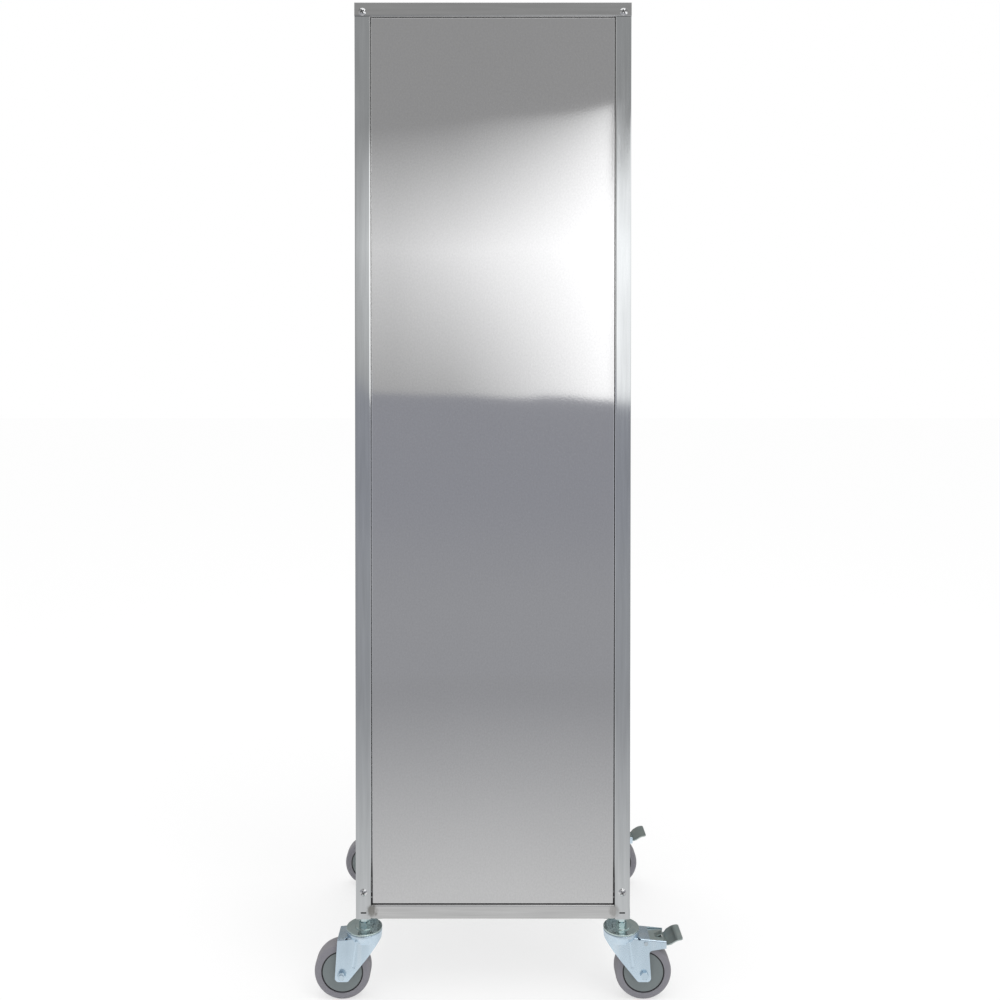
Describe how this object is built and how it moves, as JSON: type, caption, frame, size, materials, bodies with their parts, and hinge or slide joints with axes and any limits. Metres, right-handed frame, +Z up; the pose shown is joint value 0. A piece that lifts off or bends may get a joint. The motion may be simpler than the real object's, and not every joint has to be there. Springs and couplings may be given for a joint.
{
  "type": "tray trolley",
  "caption": "Tall stainless tray trolley: square-tube frame, closed sides, open ends with L-shaped tray runners, swivel castors with foot brakes at one end.",
  "frame": {"origin": "on the floor, under the middle of the square-tube frame", "axes": "+Z up; +X along the closed sides towards the braked castors; +Y from the pictured side to the far side"},
  "size_m": [0.657, 0.478, 1.775],
  "materials": {
    "frame_tube": "satin stainless tube",
    "panel_sheet": "smooth stainless sheet",
    "runner_sheet": "folded stainless sheet",
    "bright_steel": "bright steel",
    "zinc_plate": "blue-white zinc plate",
    "wheel_plastic": "moulded black plastic",
    "cover_plastic": "moulded grey plastic",
    "grey_rubber": "grey non-marking rubber",
    "bush_plastic": "natural nylon",
    "brake_rubber": "black rubber"
  },
  "bodies": {
    "frame": {"post_front_left": "frame_tube", "post_front_right": "frame_tube", "post_rear_left": "frame_tube", "post_rear_right": "frame_tube", "top_rail_front": "frame_tube", "bottom_rail_front": "frame_tube", "side_panel_front": "panel_sheet", "tray_runners_front": "runner_sheet", "top_rail_rear": "frame_tube", "bottom_rail_rear": "frame_tube", "side_panel_rear": "panel_sheet", "tray_runners_rear": "runner_sheet", "top_cross_rail_left": "frame_tube", "bottom_cross_rail_left": "frame_tube", "top_cross_rail_right": "frame_tube", "bottom_cross_rail_right": "frame_tube", "top_panel": "panel_sheet", "rail_end_caps": "frame_tube", "cross_rail_inserts": "bright_steel", "frame_screws": "bright_steel", "castor_sockets": "bright_steel", "castor_stems": "zinc_plate", "stem_lock_nuts": "zinc_plate", "upper_raceways": "zinc_plate"},
    "castor_front_left": {"fork_front_left": "zinc_plate", "axle_bolt_and_nut_front_left": "zinc_plate", "axle_sleeve_front_left": "zinc_plate"},
    "wheel_front_left": {"wheel_core_front_left": "wheel_plastic", "hub_covers_front_left": "cover_plastic", "tyre_front_left": "grey_rubber", "wheel_bushes_front_left": "bush_plastic"},
    "castor_front_right": {"fork_front_right": "zinc_plate", "axle_bolt_and_nut_front_right": "zinc_plate", "axle_sleeve_front_right": "zinc_plate", "brake_pin_front_right": "zinc_plate"},
    "wheel_front_right": {"wheel_core_front_right": "wheel_plastic", "hub_covers_front_right": "cover_plastic", "tyre_front_right": "grey_rubber", "wheel_bushes_front_right": "bush_plastic"},
    "brake_front_right": {"brake_pedal_front_right": "zinc_plate", "brake_shoe_front_right": "brake_rubber"},
    "castor_rear_left": {"fork_rear_left": "zinc_plate", "axle_bolt_and_nut_rear_left": "zinc_plate", "axle_sleeve_rear_left": "zinc_plate"},
    "wheel_rear_left": {"wheel_core_rear_left": "wheel_plastic", "hub_covers_rear_left": "cover_plastic", "tyre_rear_left": "grey_rubber", "wheel_bushes_rear_left": "bush_plastic"},
    "castor_rear_right": {"fork_rear_right": "zinc_plate", "axle_bolt_and_nut_rear_right": "zinc_plate", "axle_sleeve_rear_right": "zinc_plate", "brake_pin_rear_right": "zinc_plate"},
    "wheel_rear_right": {"wheel_core_rear_right": "wheel_plastic", "hub_covers_rear_right": "cover_plastic", "tyre_rear_right": "grey_rubber", "wheel_bushes_rear_right": "bush_plastic"},
    "brake_rear_right": {"brake_pedal_rear_right": "zinc_plate", "brake_shoe_rear_right": "brake_rubber"}
  },
  "joints": [
    {"name": "swivel_front_left", "type": "hinge", "parent": "frame", "child": "castor_front_left", "pos_m": [-0.231, -0.206, 0.12], "axis": [0, 0, 1], "continuous": true},
    {"name": "roll_front_left", "type": "hinge", "parent": "castor_front_left", "child": "wheel_front_left", "pos_m": [-0.269, -0.206, 0.05], "axis": [0, 1, 0], "continuous": true},
    {"name": "swivel_front_right", "type": "hinge", "parent": "frame", "child": "castor_front_right", "pos_m": [0.231, -0.206, 0.12], "axis": [0, 0, 1], "continuous": true},
    {"name": "roll_front_right", "type": "hinge", "parent": "castor_front_right", "child": "wheel_front_right", "pos_m": [0.269, -0.206, 0.05], "axis": [0, 1, 0], "continuous": true},
    {"name": "brake_front_right", "type": "hinge", "parent": "castor_front_right", "child": "brake_front_right", "pos_m": [0.272, -0.206, 0.1055], "axis": [0, 1, 0], "range_deg": [0, 9]},
    {"name": "swivel_rear_left", "type": "hinge", "parent": "frame", "child": "castor_rear_left", "pos_m": [-0.231, 0.206, 0.12], "axis": [0, 0, 1], "continuous": true},
    {"name": "roll_rear_left", "type": "hinge", "parent": "castor_rear_left", "child": "wheel_rear_left", "pos_m": [-0.269, 0.206, 0.05], "axis": [0, 1, 0], "continuous": true},
    {"name": "swivel_rear_right", "type": "hinge", "parent": "frame", "child": "castor_rear_right", "pos_m": [0.231, 0.206, 0.12], "axis": [0, 0, 1], "continuous": true},
    {"name": "roll_rear_right", "type": "hinge", "parent": "castor_rear_right", "child": "wheel_rear_right", "pos_m": [0.269, 0.206, 0.05], "axis": [0, 1, 0], "continuous": true},
    {"name": "brake_rear_right", "type": "hinge", "parent": "castor_rear_right", "child": "brake_rear_right", "pos_m": [0.272, 0.206, 0.1055], "axis": [0, 1, 0], "range_deg": [0, 9]}
  ]
}
